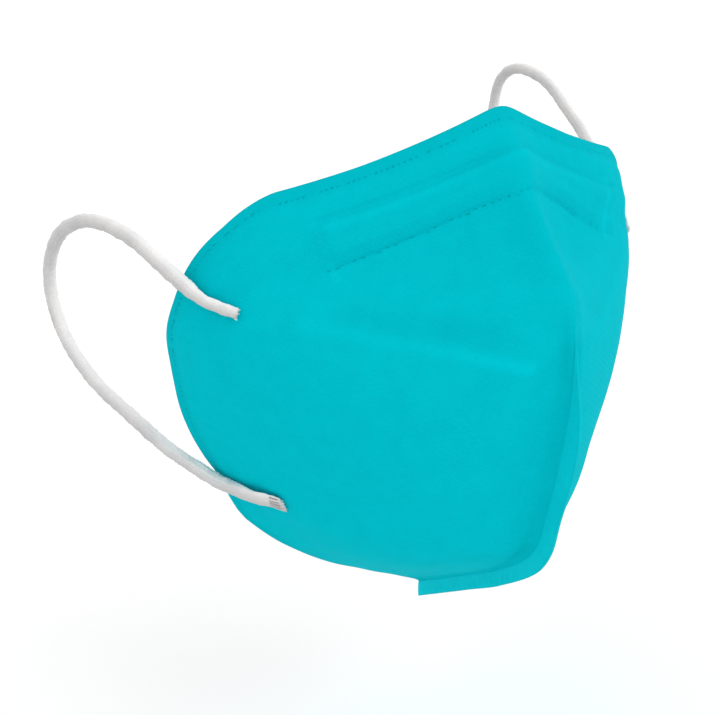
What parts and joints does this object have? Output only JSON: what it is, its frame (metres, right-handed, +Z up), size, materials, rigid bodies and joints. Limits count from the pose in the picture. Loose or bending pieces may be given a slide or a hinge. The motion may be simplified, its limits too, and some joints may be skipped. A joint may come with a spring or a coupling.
{
  "type": "respirator mask",
  "caption": "Vertical-fold respirator mask: two cloth cheek panels joined along a centre line, nose strip, welded chin seam and two elastic ear loops.",
  "frame": {"origin": "middle of the opening that sits on the wearer's face", "axes": "+X to the wearer's left, +Y back towards the face, +Z up to the nose"},
  "size_m": [0.1638, 0.1261, 0.1498],
  "materials": {
    "mask_cloth": "matt turquoise nonwoven web",
    "welded_cloth": "turquoise web pressed thin and slightly glossy by welding",
    "elastic": "soft white knitted elastic"
  },
  "bodies": {
    "root": {"panel_right": "mask_cloth", "panel_left": "mask_cloth", "nose_strip": "mask_cloth", "chin_seam": "welded_cloth", "ear_loop_right": "elastic", "ear_loop_left": "elastic", "loop_end_right_upper": "elastic", "loop_end_left_upper": "elastic", "loop_end_right_lower": "elastic", "loop_end_left_lower": "elastic"}
  },
  "joints": []
}
